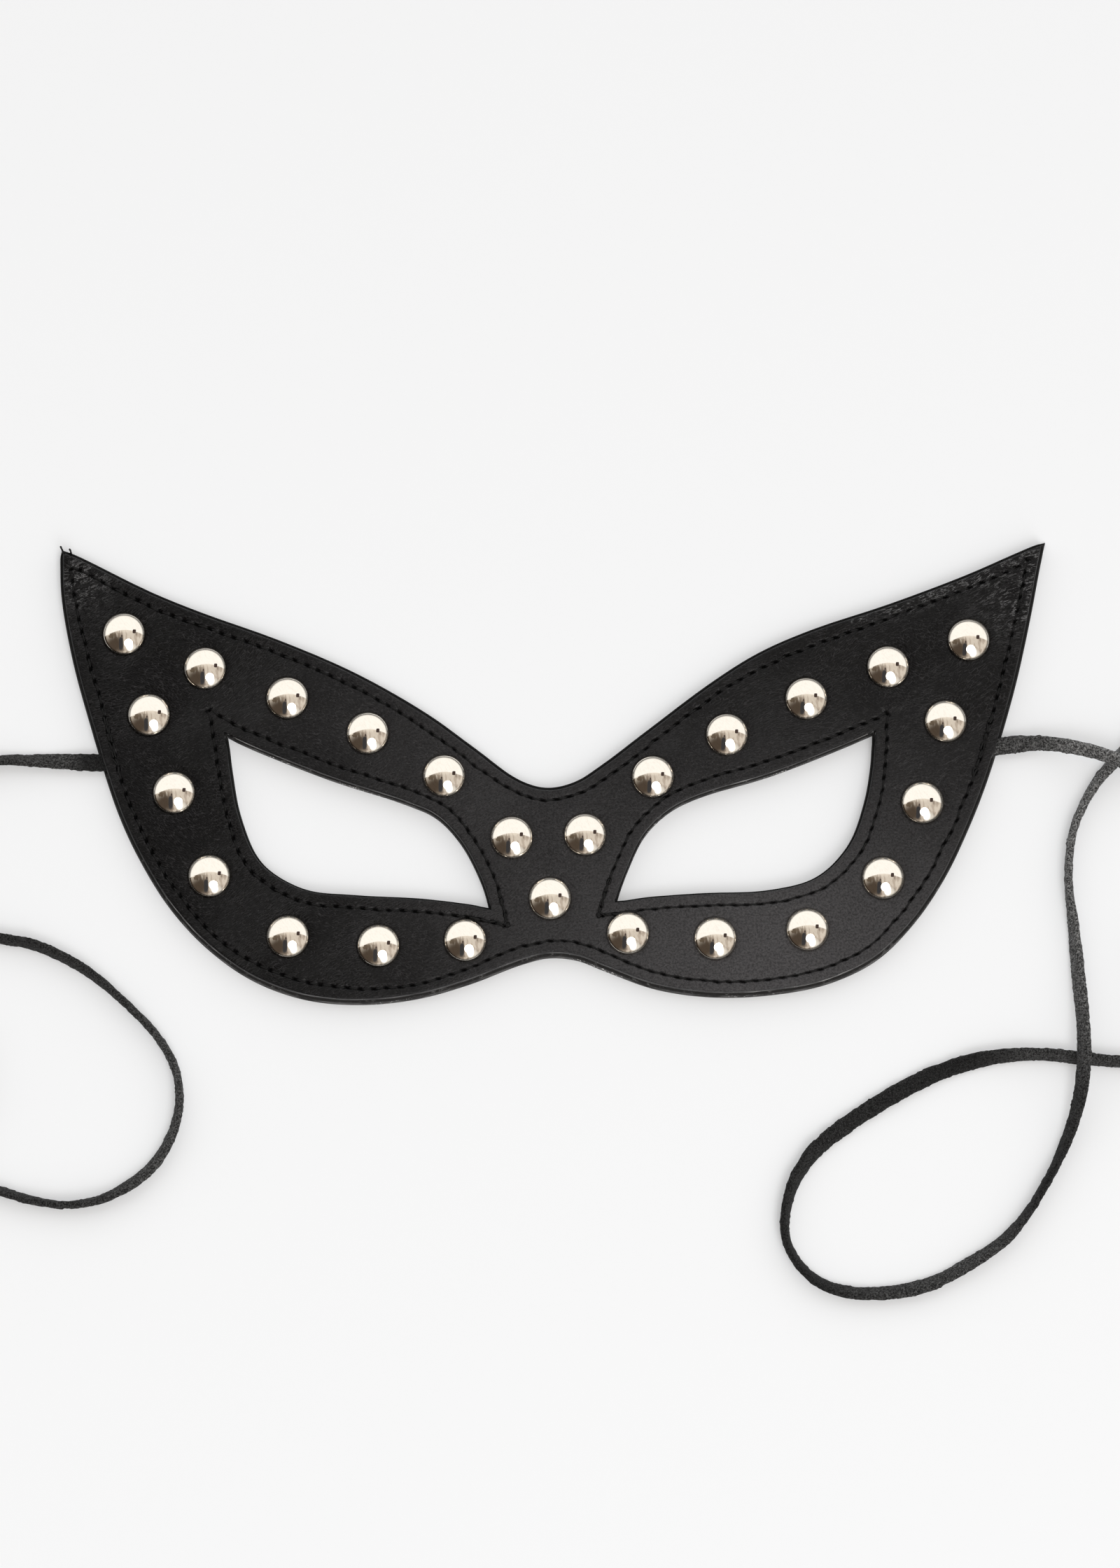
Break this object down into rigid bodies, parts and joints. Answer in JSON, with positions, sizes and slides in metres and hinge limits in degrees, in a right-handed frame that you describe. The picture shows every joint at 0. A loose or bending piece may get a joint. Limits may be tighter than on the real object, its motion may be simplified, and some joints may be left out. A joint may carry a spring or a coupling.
{
  "type": "cat-eye masquerade mask",
  "caption": "Flat leather cat-eye half mask with two eye openings, domed rivet studs, sewn edges and a loose suede tie lace at each side.",
  "frame": {"origin": "centre of the mask's outline, on the surface that it lies on", "axes": "+X to the right across the front, +Y up the front towards the wing tips, +Z out of the front"},
  "size_m": [0.3143, 0.1518, 0.0054],
  "materials": {
    "front_leather": "black satin leather with a fine grain",
    "stiffener": "split leather with a painted edge",
    "lining": "matt black lining leather",
    "stud_nickel": "polished nickel plate, slightly warm",
    "stud_base_steel": "plain plated steel",
    "seam_thread": "black bonded sewing thread",
    "lace_suede": "charcoal faux suede with a short nap"
  },
  "bodies": {
    "root": {"front_leather": "front_leather", "stiffener_core": "stiffener", "lining": "lining", "stud_cap_left_brow_1": "stud_nickel", "stud_cap_left_brow_2": "stud_nickel", "stud_cap_left_brow_3": "stud_nickel", "stud_cap_left_brow_4": "stud_nickel", "stud_cap_left_brow_5": "stud_nickel", "stud_cap_left_temple_1": "stud_nickel", "stud_cap_left_temple_2": "stud_nickel", "stud_cap_left_temple_3": "stud_nickel", "stud_cap_left_cheek_1": "stud_nickel", "stud_cap_left_cheek_2": "stud_nickel", "stud_cap_left_cheek_3": "stud_nickel", "stud_cap_nose_1": "stud_nickel", "stud_cap_nose_2": "stud_nickel", "stud_cap_nose_3": "stud_nickel", "stud_cap_right_cheek_1": "stud_nickel", "stud_cap_right_cheek_2": "stud_nickel", "stud_cap_right_cheek_3": "stud_nickel", "stud_cap_right_temple_1": "stud_nickel", "stud_cap_right_temple_2": "stud_nickel", "stud_cap_right_temple_3": "stud_nickel", "stud_cap_right_brow_1": "stud_nickel", "stud_cap_right_brow_2": "stud_nickel", "stud_cap_right_brow_3": "stud_nickel", "stud_cap_right_brow_4": "stud_nickel", "stud_cap_right_brow_5": "stud_nickel", "stud_base_left_brow_1": "stud_base_steel", "stud_base_left_brow_2": "stud_base_steel", "stud_base_left_brow_3": "stud_base_steel", "stud_base_left_brow_4": "stud_base_steel", "stud_base_left_brow_5": "stud_base_steel", "stud_base_left_temple_1": "stud_base_steel", "stud_base_left_temple_2": "stud_base_steel", "stud_base_left_temple_3": "stud_base_steel", "stud_base_left_cheek_1": "stud_base_steel", "stud_base_left_cheek_2": "stud_base_steel", "stud_base_left_cheek_3": "stud_base_steel", "stud_base_nose_1": "stud_base_steel", "stud_base_nose_2": "stud_base_steel", "stud_base_nose_3": "stud_base_steel", "stud_base_right_cheek_1": "stud_base_steel", "stud_base_right_cheek_2": "stud_base_steel", "stud_base_right_cheek_3": "stud_base_steel", "stud_base_right_temple_1": "stud_base_steel", "stud_base_right_temple_2": "stud_base_steel", "stud_base_right_temple_3": "stud_base_steel", "stud_base_right_brow_1": "stud_base_steel", "stud_base_right_brow_2": "stud_base_steel", "stud_base_right_brow_3": "stud_base_steel", "stud_base_right_brow_4": "stud_base_steel", "stud_base_right_brow_5": "stud_base_steel", "outer_seam_thread": "seam_thread", "left_eye_seam_thread": "seam_thread", "right_eye_seam_thread": "seam_thread", "left_lace": "lace_suede", "left_lace_coil": "lace_suede", "right_lace": "lace_suede", "right_lace_coil": "lace_suede"}
  },
  "joints": []
}
